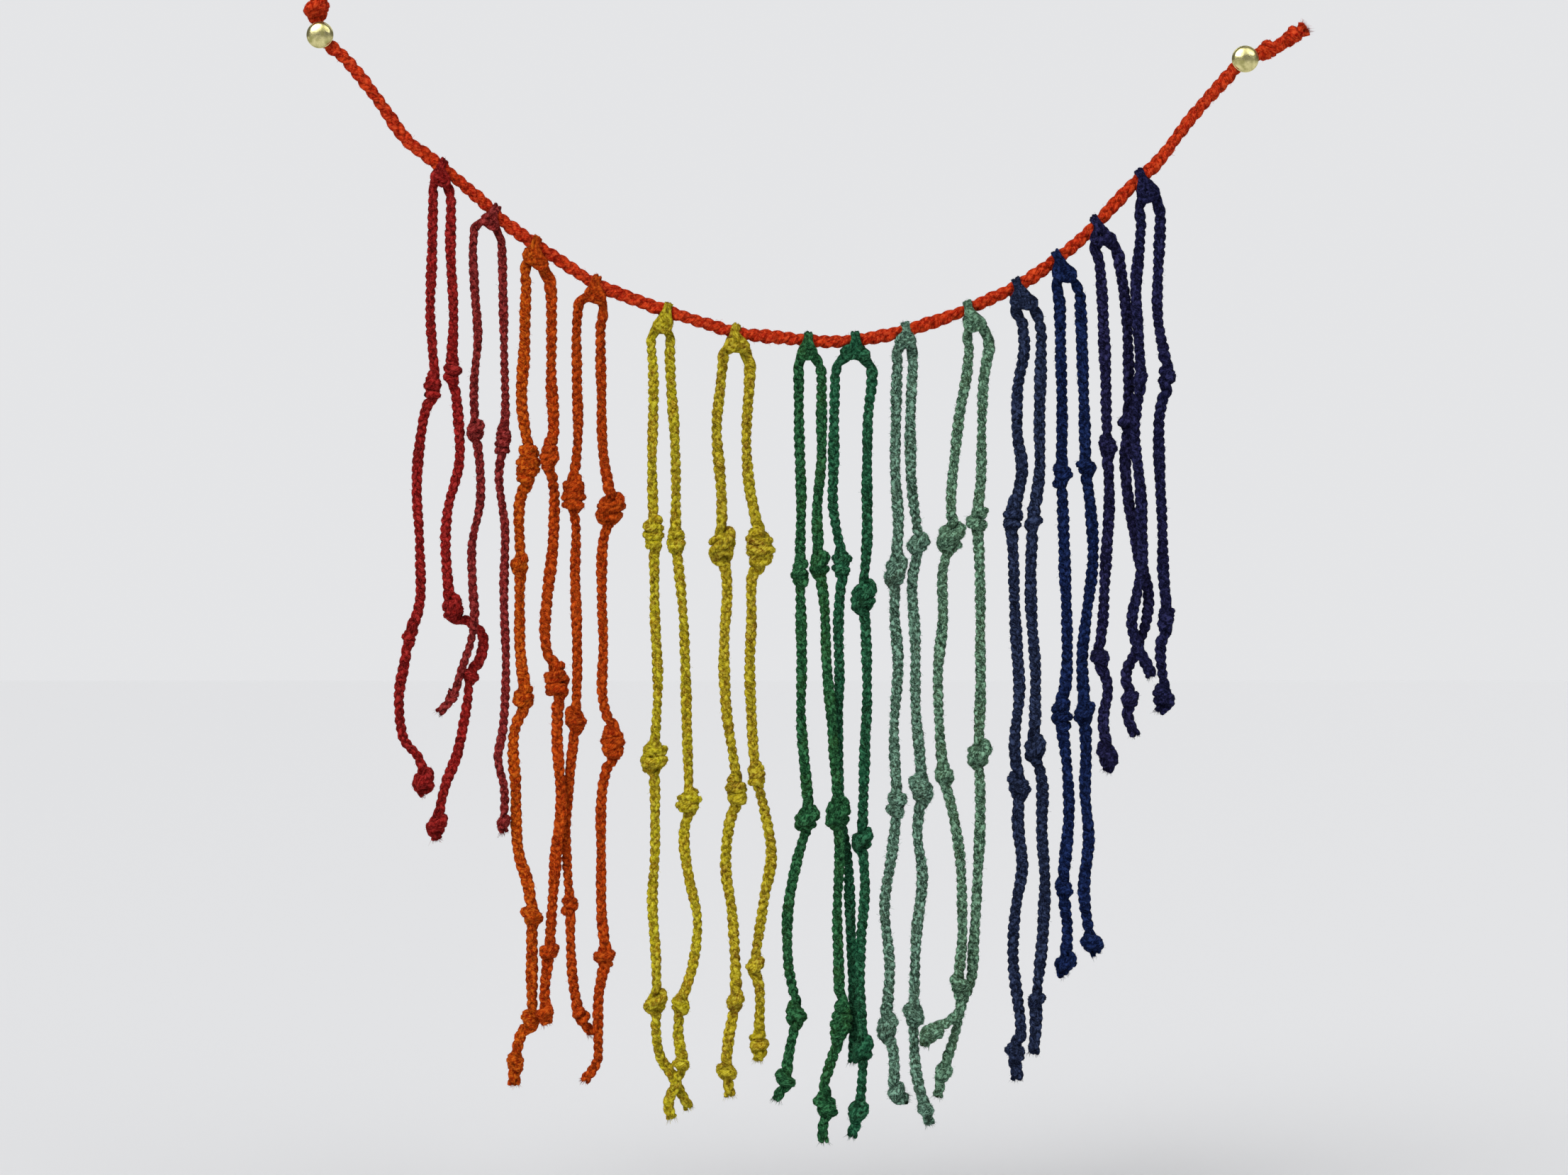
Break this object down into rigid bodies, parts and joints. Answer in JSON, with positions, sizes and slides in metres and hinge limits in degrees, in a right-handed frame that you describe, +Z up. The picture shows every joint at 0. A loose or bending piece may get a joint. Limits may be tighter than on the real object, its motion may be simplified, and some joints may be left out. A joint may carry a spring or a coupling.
{
  "type": "knotted cord record",
  "caption": "Inca quipu: dyed wool pendant cords with tied knots, hitched along a curved primary cord that is pinned to a wall at both ends.",
  "frame": {"origin": "the left pin's axis where it meets the plane of the wall", "axes": "+X to the viewer's right along the wall, +Y into the wall, +Z up; the front faces -Y"},
  "size_m": [0.3543, 0.0178, 0.4104],
  "materials": {
    "primary_cord": "plaited wool, fuzzy",
    "left_pin_cap": "polished brass, slightly worn",
    "left_pin_point": "plain steel",
    "right_pin_cap": "polished brass, slightly worn",
    "right_pin_point": "plain steel",
    "red_pendant_1": "plaited hand-spun wool, fuzzy",
    "red_pendant_2": "plaited hand-spun wool, fuzzy",
    "orange_pendant_1": "plaited hand-spun wool, fuzzy",
    "orange_pendant_2": "plaited hand-spun wool, fuzzy",
    "yellow_pendant_1": "plaited hand-spun wool, fuzzy",
    "yellow_pendant_2": "plaited hand-spun wool, fuzzy",
    "green_pendant_1": "plaited hand-spun wool, fuzzy",
    "green_pendant_2": "plaited hand-spun wool, fuzzy",
    "pale_green_pendant_1": "plaited hand-spun wool, fuzzy",
    "pale_green_pendant_2": "plaited hand-spun wool, fuzzy",
    "blue_pendant_1": "plaited hand-spun wool, fuzzy",
    "blue_pendant_2": "plaited hand-spun wool, fuzzy",
    "indigo_pendant_1": "plaited hand-spun wool, fuzzy",
    "indigo_pendant_2": "plaited hand-spun wool, fuzzy"
  },
  "bodies": {
    "primary": {"primary_cord": "primary_cord", "left_pin_cap": "left_pin_cap", "left_pin_point": "left_pin_point", "right_pin_cap": "right_pin_cap", "right_pin_point": "right_pin_point"},
    "red_cord_1": {"red_pendant_1": "red_pendant_1"},
    "red_cord_2": {"red_pendant_2": "red_pendant_2"},
    "orange_cord_1": {"orange_pendant_1": "orange_pendant_1"},
    "orange_cord_2": {"orange_pendant_2": "orange_pendant_2"},
    "yellow_cord_1": {"yellow_pendant_1": "yellow_pendant_1"},
    "yellow_cord_2": {"yellow_pendant_2": "yellow_pendant_2"},
    "green_cord_1": {"green_pendant_1": "green_pendant_1"},
    "green_cord_2": {"green_pendant_2": "green_pendant_2"},
    "pale_green_cord_1": {"pale_green_pendant_1": "pale_green_pendant_1"},
    "pale_green_cord_2": {"pale_green_pendant_2": "pale_green_pendant_2"},
    "blue_cord_1": {"blue_pendant_1": "blue_pendant_1"},
    "blue_cord_2": {"blue_pendant_2": "blue_pendant_2"},
    "indigo_cord_1": {"indigo_pendant_1": "indigo_pendant_1"},
    "indigo_cord_2": {"indigo_pendant_2": "indigo_pendant_2"}
  },
  "joints": [
    {"name": "red_swing_1", "type": "hinge", "parent": "primary", "child": "red_cord_1", "pos_m": [0.04282, -0.0048, -0.04654], "axis": [-0.7541, 0, 0.6568], "range_deg": [0, 40]},
    {"name": "red_swing_2", "type": "hinge", "parent": "primary", "child": "red_cord_2", "pos_m": [0.06123, -0.0048, -0.06257], "axis": [-0.7541, 0, 0.6568], "range_deg": [0, 40]},
    {"name": "orange_swing_1", "type": "hinge", "parent": "primary", "child": "orange_cord_1", "pos_m": [0.07575, -0.0048, -0.07375], "axis": [-0.8396, 0, 0.5433], "range_deg": [0, 40]},
    {"name": "orange_swing_2", "type": "hinge", "parent": "primary", "child": "orange_cord_2", "pos_m": [0.097, -0.0048, -0.0875], "axis": [-0.8396, 0, 0.5433], "range_deg": [0, 40]},
    {"name": "yellow_swing_1", "type": "hinge", "parent": "primary", "child": "yellow_cord_1", "pos_m": [0.12225, -0.0048, -0.09725], "axis": [-0.9463, 0, 0.3234], "range_deg": [0, 40]},
    {"name": "yellow_swing_2", "type": "hinge", "parent": "primary", "child": "yellow_cord_2", "pos_m": [0.14636, -0.0048, -0.10471], "axis": [-0.9761, 0, 0.2172], "range_deg": [0, 32]},
    {"name": "green_swing_1", "type": "hinge", "parent": "primary", "child": "green_cord_1", "pos_m": [0.17203, -0.0048, -0.1076], "axis": [-0.9999, 0, -0.0109], "range_deg": [0, 45]},
    {"name": "green_swing_2", "type": "hinge", "parent": "primary", "child": "green_cord_2", "pos_m": [0.18877, -0.0048, -0.10742], "axis": [-0.9999, 0, -0.0109], "range_deg": [0, 45]},
    {"name": "pale_green_swing_1", "type": "hinge", "parent": "primary", "child": "pale_green_cord_1", "pos_m": [0.20653, -0.0048, -0.104], "axis": [-0.9464, 0, -0.3229], "range_deg": [0, 35]},
    {"name": "pale_green_swing_2", "type": "hinge", "parent": "primary", "child": "pale_green_cord_2", "pos_m": [0.22865, -0.0048, -0.09645], "axis": [-0.9464, 0, -0.3229], "range_deg": [0, 35]},
    {"name": "blue_swing_1", "type": "hinge", "parent": "primary", "child": "blue_cord_1", "pos_m": [0.24587, -0.0048, -0.08852], "axis": [-0.8805, 0, -0.474], "range_deg": [0, 40]},
    {"name": "blue_swing_2", "type": "hinge", "parent": "primary", "child": "blue_cord_2", "pos_m": [0.26016, -0.0048, -0.07874], "axis": [-0.7921, 0, -0.6104], "range_deg": [0, 40]},
    {"name": "indigo_swing_1", "type": "hinge", "parent": "primary", "child": "indigo_cord_1", "pos_m": [0.27375, -0.0048, -0.0665], "axis": [-0.6921, 0.0003, -0.7218], "range_deg": [0, 40]},
    {"name": "indigo_swing_2", "type": "hinge", "parent": "primary", "child": "indigo_cord_2", "pos_m": [0.28959, -0.00481, -0.04998], "axis": [-0.6921, 0.0003, -0.7218], "range_deg": [0, 40]}
  ],
  "couplings": [
    {"joint": "red_swing_2", "follows": "red_swing_1", "ratio": 1},
    {"joint": "orange_swing_2", "follows": "orange_swing_1", "ratio": 1},
    {"joint": "green_swing_2", "follows": "green_swing_1", "ratio": 1},
    {"joint": "pale_green_swing_2", "follows": "pale_green_swing_1", "ratio": 1},
    {"joint": "indigo_swing_2", "follows": "indigo_swing_1", "ratio": 1}
  ]
}
